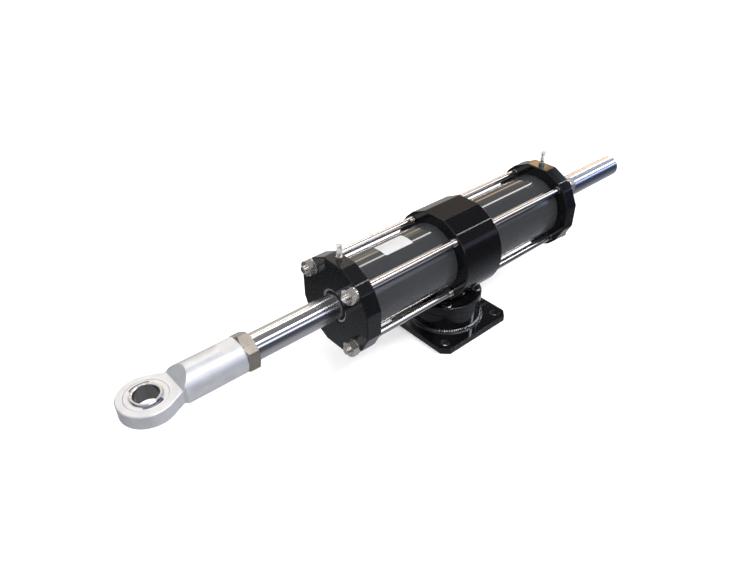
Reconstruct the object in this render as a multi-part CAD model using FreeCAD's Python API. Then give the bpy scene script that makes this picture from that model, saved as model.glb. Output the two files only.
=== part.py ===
import FreeCAD, Part
import math
import os

from FreeCAD import Vector

# Balanced hydraulic steering cylinder on a swivel foot, in millimetres.
# The origin is the centre of the foot plate's underside, on the swivel axis.
# +X runs along the cylinder from the eye to the plain end of the rod, and +Z is up.

# Fits and clearances
SEAT = 0.05               # radial gap of a piece seated in a bore or on a shaft
RUNNING = 0.05            # radial gap of a piece that turns or slides on another
PLAY = 0.1                # axial gap between faces that turn on each other
PAST = 1.0                # how far a cutting tool reaches past the face it opens
DRILL_POINT = 118.0       # included angle of a drill's point, degrees
NUT_CHAMFER_ANGLE = 30.0  # slope of the chamfer on a nut's corners, degrees

# Cylinder
BORE_D = 75.0
BARREL_WALL = 5.5
STROKE = 250.0
ROD_D = 30.0
ROD_REST = 31.0           # piston's distance from mid stroke as it stands
PISTON_STOP_GAP = 2.0     # piston to spigot at the end of the stroke
ROD_LEFT_FRONT = 14.0     # rod showing between front cap and lock nut, piston at the rear stop
ROD_LEFT_REAR = 13.5      # rod showing behind the rear cap, piston at the front stop

# Tie rods with their nuts and washers
TIE_BARREL_GAP = 2.0      # tie-rod thread to the barrel
TIE_THREAD_D = 10.0
TIE_SHANK_D = 9.0
TIE_TIP = 4.0             # thread showing past the nut
TIE_THREAD_OUT = 6.0      # thread showing outside the centre block
TIE_THREAD_IN = 18.0      # thread held in the centre block
TIE_THREAD_END = 34.0     # thread length at the nut end
TIE_HOLE_D = 11.0
TIE_NUT_AF = 17.0
TIE_NUT_T = 8.0
TIE_WASHER_D = 18.0
TIE_WASHER_BORE_D = 10.5
TIE_WASHER_T = 1.8
THREAD_CHAMFER = 1.0

# End caps
CAP_T = 20.0
RIM_MARGIN = 8.5          # tie-rod centre to the corners of the caps' and the block's outline
FLAT_HALF_ANGLE = 15.5    # half the angle that a wide flat spans at the axis
CORNER_HALF_ANGLE = 6.5   # half the angle of the narrow flat beside a tie rod
CAP_CHAMFER = 0.8
SPIGOT_L = 14.0
GLAND_D = 40.0
CIRCLIP_SETBACK = 1.2
CIRCLIP_T = 1.75
CIRCLIP_GROOVE = 1.25     # depth of the circlip groove in the gland bore
CIRCLIP_PLAY = 0.1        # groove's extra width on each side of the circlip
CIRCLIP_RELIEF = 0.2      # radial gap between the circlip and the groove's floor
CIRCLIP_BAND = 3.0        # radial width of the circlip
CIRCLIP_GAP_ANGLE = 32.0
CIRCLIP_LUG_R = 1.9
CIRCLIP_EYE_R = 0.9
WIPER_L = 6.0
WIPER_LIP = 1.5
ROD_SEAL_L = 7.0
ROD_SEAL_MOUTH = 2.0      # width of the seal's open groove at its mouth
ROD_SEAL_ROOT = 0.8       # width of the groove at its floor
BUSH_WALL = 2.0
O_RING_D = 2.5            # section of the barrel O-ring
O_RING_GROOVE_L = 3.2
O_RING_FROM_FACE = 6.0    # groove centre from the cap's inner face
PORT_D = 11.8             # tapped hole for a quarter-inch pipe fitting
PORT_DEPTH = 13.0
GALLERY_D = 6.0           # oil way from a port or bleed screw to the barrel
GALLERY_R = 29.0          # oil way's distance from the cylinder axis

# Bleed screws and their dust caps
BLEED_THREAD_D = 6.0
BLEED_THREAD_L = 13.0
BLEED_POINT_L = 2.0
BLEED_HEX_AF = 7.0
BLEED_HEX_H = 4.4
BLEED_NIPPLE_D = 4.4
BLEED_BARB_D = 5.2
BLEED_BARB_L = 3.0
BLEED_BARB_LAND = 1.0     # straight part of the barb below its taper
BLEED_TIP_D = 3.4
BLEED_NIPPLE_TOP = 18.5   # above the cap's flat
BLEED_HOLE_D = 1.6
BLEED_WAY_D = 3.2         # oil way from the barrel to the screw's point
DUST_CAP_D = 6.4
DUST_CAP_WALL = 0.5
DUST_CAP_FOOT = 7.5       # above the cap's flat
DUST_CAP_CROWN = 2.0      # thickness of its closed end
DUST_CAP_ROUND = 1.6      # rounding of its closed end

# Centre block
BLOCK_W = 62.0
BLOCK_CHAMFER = 0.8
NECK_D = 57.0

# Swivel foot
PLATE_SIDE = 120.0
PLATE_T = 8.0
PLATE_CORNER = 9.0
PLATE_EDGE = 0.6
PLATE_HOLE_D = 11.0
PLATE_HOLE_INSET = 13.0   # hole centre from each side of the plate
CUP_WALL = 13.0
HUB_H = 46.0              # top of the retaining ring above the mounting face
HUB_EDGE = 1.0
BLOCK_ABOVE_HUB = 3.5     # neck showing between the retaining ring and the block
WELD_LEG = 4.2
WELD_CROWN = 0.62         # share of the leg that the middle of the bead's face reaches
RING_T = 12.0
RING_BORE_GAP = 1.0       # radial gap between ring and neck
SCREW_D = 8.0
SCREW_HEAD_D = 13.0
SCREW_HEAD_H = 8.0
SCREW_SOCKET_AF = 6.0
SCREW_SOCKET_DEPTH = 4.0
SCREW_LENGTH = 18.0
SCREW_HOLE_D = 9.0
SCREW_SINK_D = 15.0
SCREW_PROUD = 1.0         # head above the ring's top face
SCREW_COUNT = 4
FLANGE_LEDGE = 4.0        # how far the pin's flange reaches past the neck
FLANGE_T = 5.9
FLANGE_GAP = 0.5          # radial gap between flange and cup
THRUST_T = 2.0
JOURNAL_D = 36.0
SWIVEL_BUSH_WALL = 4.0
JOURNAL_FLOOR_GAP = 2.0
PIN_THREAD_D = 24.0
PIN_THREAD_L = 26.0

# Piston
PISTON_L = 44.0
PISTON_GAP = 0.3          # radial gap between piston body and barrel
PISTON_EDGE = 1.5
PISTON_SEAL_L = 6.0
PISTON_SEAL_DEPTH = 3.8
WEAR_RING_L = 8.0
WEAR_RING_DEPTH = 2.5
WEAR_RING_OFFSET = 13.0   # from the piston's middle
ROD_CLIP_T = 1.5
ROD_CLIP_BAND = 4.2
ROD_CLIP_GROOVE = 0.8
ROD_TIP_CHAMFER = 1.5

# Rod end with its lock nut
ROD_THREAD_D = 24.0
ROD_THREAD_L = 54.0
LOCK_NUT_T = 14.0
LOCK_NUT_AF = 38.0
END_BODY_D = 40.0
END_BODY_L = 58.0         # lock nut to the start of the shoulder
END_THREAD_L = 46.0
END_FLAT_AF = 36.0
END_FLAT_L = 20.0
END_BODY_EDGE = 1.0
SHOULDER_R = 5.0          # rounding from the body down to the eye's root
EYE_D = 57.0
EYE_T = 16.0
EYE_ROOT_W = 35.0         # width of the eye where the shoulder's slope meets it
EYE_FROM_SLOPE = 28.0     # eye centre from the foot of the slope
EYE_EDGE = 1.0

# Spherical bearing in the eye
RACE_D = 42.0
BALL_D = 35.5
BALL_W = 20.0
BALL_BORE_D = 25.0
BALL_EDGE = 0.6
RACE_EDGE = 0.5
LOADING_SLOT_GAP = 0.8    # width of each crescent slot beside the ball

# Radii about the cylinder axis, worked out from the sizes above
BARREL_R = BORE_D / 2 + BARREL_WALL
TIE_CIRCLE_R = BARREL_R + TIE_BARREL_GAP + TIE_THREAD_D / 2
RIM_R = TIE_CIRCLE_R + RIM_MARGIN
ROD_R = ROD_D / 2
GLAND_R = GLAND_D / 2
BUSH_R = ROD_R + BUSH_WALL
SPIGOT_R = BORE_D / 2 - SEAT
FLAT_Z = RIM_R * math.cos(math.radians(FLAT_HALF_ANGLE))

# Cylinder axis above the mounting face
AXIS_H = HUB_H + BLOCK_ABOVE_HUB + RIM_R

# Places along the cylinder, worked out from the sizes above
BARREL_HALF = STROKE / 2 + PISTON_L / 2 + PISTON_STOP_GAP + SPIGOT_L
CAP_FACE = BARREL_HALF + CAP_T
CAP_MID = BARREL_HALF + CAP_T / 2
SPIGOT_END = BARREL_HALF - SPIGOT_L
BLOCK_HALF = BLOCK_W / 2
CIRCLIP_OUT = CAP_FACE - CIRCLIP_SETBACK
CIRCLIP_IN = CIRCLIP_OUT - CIRCLIP_T
WIPER_IN = CIRCLIP_IN - WIPER_L
ROD_SEAL_IN = WIPER_IN - ROD_SEAL_L
NUT_SEAT = CAP_FACE + TIE_WASHER_T
TIE_END = NUT_SEAT + TIE_NUT_T + TIE_TIP
LOCK_NUT_BACK = -(CAP_FACE + STROKE / 2 - ROD_REST + ROD_LEFT_FRONT)
LOCK_NUT_FRONT = LOCK_NUT_BACK - LOCK_NUT_T
ROD_TIP = CAP_FACE + STROKE / 2 + ROD_REST + ROD_LEFT_REAR
SHOULDER_X = LOCK_NUT_FRONT - END_BODY_L
SLOPE_FOOT_X = SHOULDER_X - (END_BODY_D - EYE_T) / 2
EYE_X = SLOPE_FOOT_X - EYE_FROM_SLOPE

# Heights and radii in the swivel foot, worked out from the sizes above
RING_FOOT = HUB_H - RING_T
CUP_SEAT = RING_FOOT - 2 * THRUST_T - 2 * PLAY - FLANGE_T
FLANGE_FOOT = CUP_SEAT + THRUST_T + PLAY
FLANGE_TOP = FLANGE_FOOT + FLANGE_T
SCREW_SEAT = HUB_H + SCREW_PROUD - SCREW_HEAD_H
FLANGE_R = NECK_D / 2 + FLANGE_LEDGE
CUP_POCKET_R = FLANGE_R + FLANGE_GAP
CUP_R = CUP_POCKET_R + CUP_WALL
RING_BORE_R = NECK_D / 2 + RING_BORE_GAP
RING_SCREW_R = (RING_BORE_R + CUP_R) / 2
SWIVEL_BUSH_R = JOURNAL_D / 2 + SWIVEL_BUSH_WALL

CYLINDER_AXIS = Vector(0, 0, AXIS_H)
ALONG_X = Vector(1, 0, 0)
ALONG_Y = Vector(0, 1, 0)
ALONG_Z = Vector(0, 0, 1)


def bar_x(radius, x_start, x_end, y=0.0, z=0.0):
    """Round bar along X; y and z are measured from the cylinder axis."""
    low, high = min(x_start, x_end), max(x_start, x_end)
    return Part.makeCylinder(radius, high - low, Vector(low, y, AXIS_H + z), ALONG_X)


def bar_z(radius, z_start, z_end, x=0.0, y=0.0):
    """Round bar along Z, in the part's own frame."""
    low, high = min(z_start, z_end), max(z_start, z_end)
    return Part.makeCylinder(radius, high - low, Vector(x, y, low), ALONG_Z)


def sleeve_x(outer_r, inner_r, x_start, x_end):
    """Plain tube about the cylinder axis."""
    return bar_x(outer_r, x_start, x_end).cut(bar_x(inner_r, x_start - PAST, x_end + PAST))


def sleeve_z(outer_r, inner_r, z_start, z_end, x=0.0, y=0.0):
    """Plain tube with an upright axis."""
    hole = bar_z(inner_r, z_start - PAST, z_end + PAST, x, y)
    return bar_z(outer_r, z_start, z_end, x, y).cut(hole)


def closed_face(points):
    """Face bounded by straight lines through the points."""
    return Part.Face(Part.makePolygon(points + points[:1]))


def turned_x(profile):
    """Solid of revolution about the cylinder axis from (x, radius) points."""
    points = [Vector(x, 0, AXIS_H + radius) for x, radius in profile]
    return closed_face(points).revolve(CYLINDER_AXIS, ALONG_X, 360)


def turned_z(profile, x=0.0, y=0.0):
    """Solid of revolution about an upright axis from (radius, z) points."""
    points = [Vector(x + radius, y, z) for radius, z in profile]
    return closed_face(points).revolve(Vector(x, y, 0), ALONG_Z, 360)


def drilled_x(radius, x_mouth, x_bottom, y=0.0, z=0.0):
    """Tool for a blind hole along X, with the cone that a drill leaves."""
    sense = math.copysign(1.0, x_bottom - x_mouth)
    point = radius / math.tan(math.radians(DRILL_POINT / 2))
    tool = bar_x(radius, x_mouth - sense * PAST, x_bottom, y, z)
    base = Vector(x_bottom, y, AXIS_H + z)
    return tool.fuse(Part.makeCone(radius, 0, point, base, ALONG_X * sense))


def hexagon(across_flats):
    """Six (u, v) corners of a hexagon about the origin, one of them on the v axis."""
    corner_r = across_flats / math.sqrt(3)
    angles = [math.radians(90 + 60 * step) for step in range(6)]
    return [(corner_r * math.cos(angle), corner_r * math.sin(angle)) for angle in angles]


def hex_x(across_flats, x_start, x_end, y=0.0, z=0.0):
    """Hexagonal bar along X with one corner up, its ends chamfered as on a nut."""
    length = x_end - x_start
    ring = [Vector(x_start, y + u, AXIS_H + z + v) for u, v in hexagon(across_flats)]
    bar = closed_face(ring).extrude(ALONG_X * length)
    flat_r = across_flats / 2
    corner_r = across_flats / math.sqrt(3)
    drop = (corner_r - flat_r) * math.tan(math.radians(NUT_CHAMFER_ANGLE))
    profile = [
        (0, 0), (0, flat_r), (drop, corner_r), (length - drop, corner_r), (length, flat_r), (length, 0),
    ]
    points = [Vector(x_start + u, y, AXIS_H + z + radius) for u, radius in profile]
    turned = closed_face(points).revolve(Vector(0, y, AXIS_H + z), ALONG_X, 360)
    return bar.common(turned)


def hex_z(across_flats, z_start, z_end, x=0.0, y=0.0):
    """Plain hexagonal bar along Z."""
    ring = [Vector(x + u, y + v, z_start) for u, v in hexagon(across_flats)]
    return closed_face(ring).extrude(ALONG_Z * (z_end - z_start))


def group(solids):
    """Several separate solids as one shape."""
    return Part.makeCompound(solids)


def mirrored(shape):
    """The same shape at the other end of the cylinder."""
    return shape.mirror(Vector(0, 0, 0), ALONG_X)


def tie_places():
    """The four tie rods' (y, z) places about the cylinder axis."""
    offset = TIE_CIRCLE_R * math.cos(math.radians(45))
    return [(y, z) for y in (-offset, offset) for z in (-offset, offset)]


def rim_point(radius, degrees, x):
    """Point on a rim about the cylinder axis; 0 degrees is +Y and 90 is up."""
    angle = math.radians(degrees)
    return Vector(x, radius * math.cos(angle), AXIS_H + radius * math.sin(angle))


def chamfered_slab(outline, radius, x_start, x_end, chamfer):
    """Slab between two faces from an outline(radius, x) wire, both rims chamfered."""
    sections = [
        outline(radius - chamfer, x_start),
        outline(radius, x_start + chamfer),
        outline(radius, x_end - chamfer),
        outline(radius - chamfer, x_end),
    ]
    return Part.makeLoft(sections, True, True)


def cap_outline(radius, x):
    """Cap outline: four wide flats, and a narrow flat beside each tie rod."""
    corners = []
    for quarter in range(4):
        for degrees in (
            FLAT_HALF_ANGLE,
            45 - CORNER_HALF_ANGLE,
            45 + CORNER_HALF_ANGLE,
            90 - FLAT_HALF_ANGLE,
        ):
            corners.append(rim_point(radius, 90 * quarter + degrees, x))
    return Part.makePolygon(corners + corners[:1])


def block_outline(radius, x):
    """Centre block outline: the cap's flats above, one round sweep below."""
    angles = (
        45 - CORNER_HALF_ANGLE,
        45 + CORNER_HALF_ANGLE,
        90 - FLAT_HALF_ANGLE,
        90 + FLAT_HALF_ANGLE,
        135 - CORNER_HALF_ANGLE,
        135 + CORNER_HALF_ANGLE,
    )
    corners = [rim_point(radius, degrees, x) for degrees in angles]
    edges = [Part.makeLine(a, b) for a, b in zip(corners, corners[1:])]
    edges.append(Part.Arc(corners[-1], rim_point(radius, -90, x), corners[0]).toShape())
    return Part.Wire(edges)


def end_cap():
    """Rear end cap with its spigot, gland bore, port and bleed hole."""
    cap = chamfered_slab(cap_outline, RIM_R, BARREL_HALF, CAP_FACE, CAP_CHAMFER)
    cap = cap.fuse(bar_x(SPIGOT_R, SPIGOT_END, BARREL_HALF))
    groove_x = BARREL_HALF - O_RING_FROM_FACE
    groove_floor = SPIGOT_R - O_RING_D
    cap = cap.cut(sleeve_x(
        BARREL_R, groove_floor, groove_x - O_RING_GROOVE_L / 2, groove_x + O_RING_GROOVE_L / 2))
    cap = cap.cut(bar_x(BUSH_R + SEAT, SPIGOT_END - PAST, CAP_FACE))
    cap = cap.cut(bar_x(GLAND_R, ROD_SEAL_IN, CAP_FACE + PAST))
    cap = cap.cut(bar_x(
        GLAND_R + CIRCLIP_GROOVE, CIRCLIP_IN - CIRCLIP_PLAY, CIRCLIP_OUT + CIRCLIP_PLAY))
    for y, z in tie_places():
        cap = cap.cut(bar_x(TIE_HOLE_D / 2, BARREL_HALF - PAST, CAP_FACE + PAST, y, z))
    port_floor = Vector(CAP_MID, FLAT_Z - PORT_DEPTH, AXIS_H)
    cap = cap.cut(Part.makeCylinder(PORT_D / 2, PORT_DEPTH + PAST, port_floor, ALONG_Y))
    gallery_foot = Vector(CAP_MID, GALLERY_R, AXIS_H)
    cap = cap.cut(Part.makeCylinder(GALLERY_D / 2, FLAT_Z - GALLERY_R, gallery_foot, ALONG_Y))
    cap = cap.cut(bar_x(GALLERY_D / 2, SPIGOT_END - PAST, CAP_MID, y=GALLERY_R))
    bleed_floor = AXIS_H + FLAT_Z - BLEED_THREAD_L
    cap = cap.cut(bar_z(BLEED_THREAD_D / 2, bleed_floor, AXIS_H + FLAT_Z + PAST, x=CAP_MID))
    cap = cap.cut(bar_z(BLEED_WAY_D / 2, AXIS_H + GALLERY_R, AXIS_H + FLAT_Z, x=CAP_MID))
    return cap.cut(bar_x(BLEED_WAY_D / 2, SPIGOT_END - PAST, CAP_MID, z=GALLERY_R))


def rod_bush():
    """Guide bush pressed in the cap behind the rod seal."""
    return sleeve_x(BUSH_R, ROD_R + RUNNING, SPIGOT_END, ROD_SEAL_IN)


def rod_seal():
    """Rod seal with its open groove facing the oil."""
    outer = GLAND_R - SEAT
    inner = ROD_R + RUNNING
    middle = (outer + inner) / 2
    ring = sleeve_x(outer, inner, ROD_SEAL_IN, WIPER_IN)
    floor_x = ROD_SEAL_IN + ROD_SEAL_L / 2
    groove = turned_x([
        (ROD_SEAL_IN, middle - ROD_SEAL_MOUTH / 2), (ROD_SEAL_IN, middle + ROD_SEAL_MOUTH / 2),
        (floor_x, middle + ROD_SEAL_ROOT / 2), (floor_x, middle - ROD_SEAL_ROOT / 2),
    ])
    return ring.cut(groove)


def wiper():
    """Wiper ring whose tapered lip scrapes the rod at the cap's face."""
    outer = GLAND_R - SEAT
    inner = ROD_R + RUNNING
    return turned_x([
        (WIPER_IN, inner), (WIPER_IN, outer), (CIRCLIP_IN, outer),
        (CIRCLIP_IN, GLAND_R - CIRCLIP_BAND), (CIRCLIP_OUT + WIPER_LIP / 2, inner + WIPER_LIP / 2),
        (CIRCLIP_OUT + WIPER_LIP / 2, inner),
    ])


def gland_circlip():
    """Inside circlip with two eyed lugs, its gap at the bottom."""
    outer = GLAND_R + CIRCLIP_GROOVE - CIRCLIP_RELIEF
    inner = outer - CIRCLIP_BAND
    ring = sleeve_x(outer, inner, CIRCLIP_IN, CIRCLIP_OUT)
    half = CIRCLIP_GAP_ANGLE / 2
    reach = 2 * outer
    wedge = closed_face([
        Vector(CIRCLIP_IN - PAST, 0, AXIS_H),
        rim_point(reach, -90 - half, CIRCLIP_IN - PAST),
        rim_point(reach, -90 + half, CIRCLIP_IN - PAST),
    ]).extrude(ALONG_X * (CIRCLIP_T + 2 * PAST))
    ring = ring.cut(wedge)
    lug_r = outer - CIRCLIP_LUG_R
    for sense in (-1, 1):
        angle = math.radians(-90 + sense * (half + math.degrees(CIRCLIP_LUG_R / lug_r)))
        y, z = lug_r * math.cos(angle), lug_r * math.sin(angle)
        ring = ring.fuse(bar_x(CIRCLIP_LUG_R, CIRCLIP_IN, CIRCLIP_OUT, y, z))
        ring = ring.cut(bar_x(CIRCLIP_EYE_R, CIRCLIP_IN - PAST, CIRCLIP_OUT + PAST, y, z))
    return ring.removeSplitter()


def barrel_o_ring():
    """O-ring that seals the cap's spigot in the barrel."""
    section_r = O_RING_D / 2 - SEAT
    centre_r = SPIGOT_R - O_RING_D / 2
    place = Vector(BARREL_HALF - O_RING_FROM_FACE, 0, AXIS_H)
    return Part.makeTorus(centre_r, section_r, place, ALONG_X)


def tie_rod(y, z):
    """One stud: shank, thread in the centre block and thread at the nut."""
    thread_r, shank_r = TIE_THREAD_D / 2, TIE_SHANK_D / 2
    profile = [
        (BLOCK_HALF - TIE_THREAD_IN, 0), (BLOCK_HALF - TIE_THREAD_IN, thread_r),
        (BLOCK_HALF + TIE_THREAD_OUT, thread_r), (BLOCK_HALF + TIE_THREAD_OUT, shank_r),
        (TIE_END - TIE_THREAD_END, shank_r), (TIE_END - TIE_THREAD_END, thread_r),
        (TIE_END - THREAD_CHAMFER, thread_r), (TIE_END, thread_r - THREAD_CHAMFER), (TIE_END, 0),
    ]
    stud = turned_x(profile)
    stud.translate(Vector(0, y, z))
    return stud


def tie_nut(y, z):
    """One hexagon nut on a tie rod."""
    nut = hex_x(TIE_NUT_AF, NUT_SEAT, NUT_SEAT + TIE_NUT_T, y, z)
    return nut.cut(bar_x(TIE_THREAD_D / 2 + SEAT, NUT_SEAT - PAST, TIE_END, y, z))


def tie_washer(y, z):
    """One plain washer under a tie-rod nut."""
    disc = bar_x(TIE_WASHER_D / 2, CAP_FACE, NUT_SEAT, y, z)
    return disc.cut(bar_x(TIE_WASHER_BORE_D / 2, CAP_FACE - PAST, NUT_SEAT + PAST, y, z))


def bleed_screw():
    """Bleed screw: pointed thread, hexagon and barbed nipple, drilled through."""
    flat = AXIS_H + FLAT_Z
    thread_r, nipple_r, barb_r = BLEED_THREAD_D / 2, BLEED_NIPPLE_D / 2, BLEED_BARB_D / 2
    hex_foot = flat + PLAY
    hex_top = hex_foot + BLEED_HEX_H
    top = flat + BLEED_NIPPLE_TOP
    barb_foot = top - BLEED_BARB_L
    foot = flat - BLEED_THREAD_L + PLAY
    stem = turned_z([
        (0, foot), (BLEED_HOLE_D / 2, foot), (thread_r - RUNNING, foot + BLEED_POINT_L),
        (thread_r - RUNNING, hex_foot), (nipple_r, hex_foot), (nipple_r, barb_foot),
        (barb_r, barb_foot), (barb_r, barb_foot + BLEED_BARB_LAND), (BLEED_TIP_D / 2, top), (0, top),
    ], x=CAP_MID)
    screw = stem.fuse(hex_z(BLEED_HEX_AF, hex_foot, hex_top, x=CAP_MID))
    return screw.cut(bar_z(BLEED_HOLE_D / 2, flat, top + PAST, x=CAP_MID))


def dust_cap():
    """Clear cap that pushes over the bleed nipple."""
    flat = AXIS_H + FLAT_Z
    outer_r = DUST_CAP_D / 2
    inner_r = outer_r - DUST_CAP_WALL
    foot = flat + DUST_CAP_FOOT
    ceiling = flat + BLEED_NIPPLE_TOP + PLAY
    crown = ceiling + DUST_CAP_CROWN
    cap = turned_z([
        (inner_r, foot), (outer_r, foot), (outer_r, crown), (0, crown), (0, ceiling), (inner_r, ceiling),
    ], x=CAP_MID)
    rims = [edge for edge in cap.Edges if edge.BoundBox.ZMin > crown - SEAT]
    return cap.makeFillet(DUST_CAP_ROUND, rims)


def barrel():
    """Honed tube from cap to cap, through the centre block."""
    return sleeve_x(BARREL_R, BORE_D / 2, -BARREL_HALF, BARREL_HALF)


def centre_block():
    """Clamp block: faceted above, round below, with the neck of the swivel."""
    block = chamfered_slab(block_outline, RIM_R, -BLOCK_HALF, BLOCK_HALF, BLOCK_CHAMFER)
    block = block.fuse(bar_z(NECK_D / 2, FLANGE_TOP, AXIS_H - BARREL_R))
    block = block.cut(bar_x(BARREL_R + SEAT, -BLOCK_HALF - PAST, BLOCK_HALF + PAST))
    pin_hole_top = FLANGE_TOP + PIN_THREAD_L + PAST
    block = block.cut(bar_z(PIN_THREAD_D / 2 + SEAT, FLANGE_TOP - PAST, pin_hole_top))
    hole_r = TIE_THREAD_D / 2 + SEAT
    for y, z in tie_places():
        for end in (-1, 1):
            floor_x = end * (BLOCK_HALF - TIE_THREAD_IN)
            block = block.cut(drilled_x(hole_r, end * BLOCK_HALF, floor_x, y, z))
    return block.removeSplitter()


def pivot_pin():
    """Turned pin: thread for the neck, flange under the ring, journal in the bush."""
    top = FLANGE_TOP + PIN_THREAD_L
    foot = PLATE_T + JOURNAL_FLOOR_GAP
    thread_r = PIN_THREAD_D / 2
    journal_r = JOURNAL_D / 2 - RUNNING
    return turned_z([
        (0, foot), (journal_r - THREAD_CHAMFER, foot), (journal_r, foot + THREAD_CHAMFER),
        (journal_r, FLANGE_FOOT), (FLANGE_R, FLANGE_FOOT), (FLANGE_R, FLANGE_TOP),
        (thread_r, FLANGE_TOP), (thread_r, top - THREAD_CHAMFER), (thread_r - THREAD_CHAMFER, top),
        (0, top),
    ])


def base_plate():
    """Square foot plate with cut corners and four bolt holes."""
    half = PLATE_SIDE / 2
    inner = half - PLATE_CORNER
    outline = []
    for across, along in ((1, 1), (-1, 1), (-1, -1), (1, -1)):
        corner = [Vector(across * half, along * inner, 0), Vector(across * inner, along * half, 0)]
        outline += corner if across == along else corner[::-1]
    plate = closed_face(outline).extrude(ALONG_Z * PLATE_T)
    rims = [edge for edge in plate.Edges if edge.BoundBox.ZMin > PLATE_T - SEAT]
    plate = plate.makeChamfer(PLATE_EDGE, rims)
    offset = half - PLATE_HOLE_INSET
    for x in (-offset, offset):
        for y in (-offset, offset):
            plate = plate.cut(bar_z(PLATE_HOLE_D / 2, -PAST, PLATE_T + PAST, x, y))
    return plate


def screw_places():
    """The retaining screws' (x, y) places, on the diagonals."""
    step = 360 / SCREW_COUNT
    angles = [math.radians(step / 2 + step * index) for index in range(SCREW_COUNT)]
    return [(RING_SCREW_R * math.cos(angle), RING_SCREW_R * math.sin(angle)) for angle in angles]


def swivel_cup():
    """Hub welded on the plate, bored for the bush and the pin's flange."""
    cup = bar_z(CUP_R, PLATE_T, RING_FOOT)
    cup = cup.cut(bar_z(SWIVEL_BUSH_R, PLATE_T - PAST, RING_FOOT))
    cup = cup.cut(bar_z(CUP_POCKET_R, CUP_SEAT, RING_FOOT + PAST))
    hole_floor = SCREW_SEAT - SCREW_LENGTH - PAST
    for x, y in screw_places():
        cup = cup.cut(bar_z(SCREW_D / 2 + SEAT, hole_floor, RING_FOOT + PAST, x, y))
    return cup


def weld_bead():
    """Fillet weld round the foot of the cup, with a crowned face."""
    inner = CUP_R + SEAT
    reach = WELD_LEG * WELD_CROWN
    root = Vector(inner, 0, PLATE_T)
    low_edge = Vector(inner + WELD_LEG, 0, PLATE_T)
    high_edge = Vector(inner, 0, PLATE_T + WELD_LEG)
    crown = Vector(inner + reach, 0, PLATE_T + reach)
    section = Part.Wire([
        Part.makeLine(root, low_edge),
        Part.Arc(low_edge, crown, high_edge).toShape(),
        Part.makeLine(high_edge, root),
    ])
    return Part.Face(section).revolve(Vector(0, 0, 0), ALONG_Z, 360)


def swivel_bush():
    """Bronze bush for the pivot pin's journal."""
    return sleeve_z(SWIVEL_BUSH_R - SEAT, JOURNAL_D / 2, PLATE_T, CUP_SEAT)


def lower_thrust_washer():
    """Bronze washer under the pin's flange."""
    return sleeve_z(CUP_POCKET_R - SEAT, JOURNAL_D / 2 + SEAT, CUP_SEAT, CUP_SEAT + THRUST_T)


def upper_thrust_washer():
    """Bronze washer between the pin's flange and the retaining ring."""
    return sleeve_z(CUP_POCKET_R - SEAT, RING_BORE_R, RING_FOOT - THRUST_T, RING_FOOT)


def retainer_ring():
    """Ring screwed on the cup to hold the pivot pin down."""
    ring = turned_z([
        (RING_BORE_R, RING_FOOT), (CUP_R, RING_FOOT), (CUP_R, HUB_H - HUB_EDGE),
        (CUP_R - HUB_EDGE, HUB_H), (RING_BORE_R + HUB_EDGE, HUB_H), (RING_BORE_R, HUB_H - HUB_EDGE),
    ])
    for x, y in screw_places():
        ring = ring.cut(bar_z(SCREW_HOLE_D / 2, RING_FOOT - PAST, HUB_H, x, y))
        ring = ring.cut(bar_z(SCREW_SINK_D / 2, SCREW_SEAT, HUB_H + PAST, x, y))
    return ring


def retainer_screw(x, y):
    """One socket-head screw of the retaining ring."""
    head_r, shank_r = SCREW_HEAD_D / 2, SCREW_D / 2
    top = SCREW_SEAT + SCREW_HEAD_H
    foot = SCREW_SEAT - SCREW_LENGTH
    screw = turned_z([
        (0, foot), (shank_r - THREAD_CHAMFER, foot), (shank_r, foot + THREAD_CHAMFER),
        (shank_r, SCREW_SEAT), (head_r, SCREW_SEAT), (head_r, top - THREAD_CHAMFER / 2),
        (head_r - THREAD_CHAMFER / 2, top), (0, top),
    ], x, y)
    return screw.cut(hex_z(SCREW_SOCKET_AF, top - SCREW_SOCKET_DEPTH, top + PAST, x, y))


def piston_rod():
    """Through rod: threaded nose, two circlip grooves and a chamfered plain end."""
    thread_r = ROD_THREAD_D / 2
    nose = LOCK_NUT_BACK - ROD_THREAD_L
    rod = turned_x([
        (nose, 0), (nose, thread_r - THREAD_CHAMFER), (nose + THREAD_CHAMFER, thread_r),
        (LOCK_NUT_BACK, thread_r), (LOCK_NUT_BACK, ROD_R), (ROD_TIP - ROD_TIP_CHAMFER, ROD_R),
        (ROD_TIP, ROD_R - ROD_TIP_CHAMFER), (ROD_TIP, 0),
    ])
    for x_start, x_end in rod_clip_spans():
        rod = rod.cut(sleeve_x(ROD_R + PAST, ROD_R - ROD_CLIP_GROOVE, x_start, x_end))
    return rod


def rod_clip_spans():
    """Where the two circlips beside the piston start and end along the rod."""
    front_face = ROD_REST - PISTON_L / 2
    rear_face = ROD_REST + PISTON_L / 2
    return [(front_face - ROD_CLIP_T, front_face), (rear_face, rear_face + ROD_CLIP_T)]


def piston_circlips():
    """The two rod circlips that hold the piston."""
    inner = ROD_R - ROD_CLIP_GROOVE + SEAT
    clips = []
    for x_start, x_end in rod_clip_spans():
        clip = sleeve_x(inner + ROD_CLIP_BAND, inner, x_start, x_end)
        gap = Part.makeBox(
            x_end - x_start + 2 * PAST, 2 * ROD_CLIP_BAND, 2 * ROD_R,
            Vector(x_start - PAST, -ROD_CLIP_BAND, AXIS_H - 2 * ROD_R))
        clips.append(clip.cut(gap))
    return group(clips)


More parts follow.
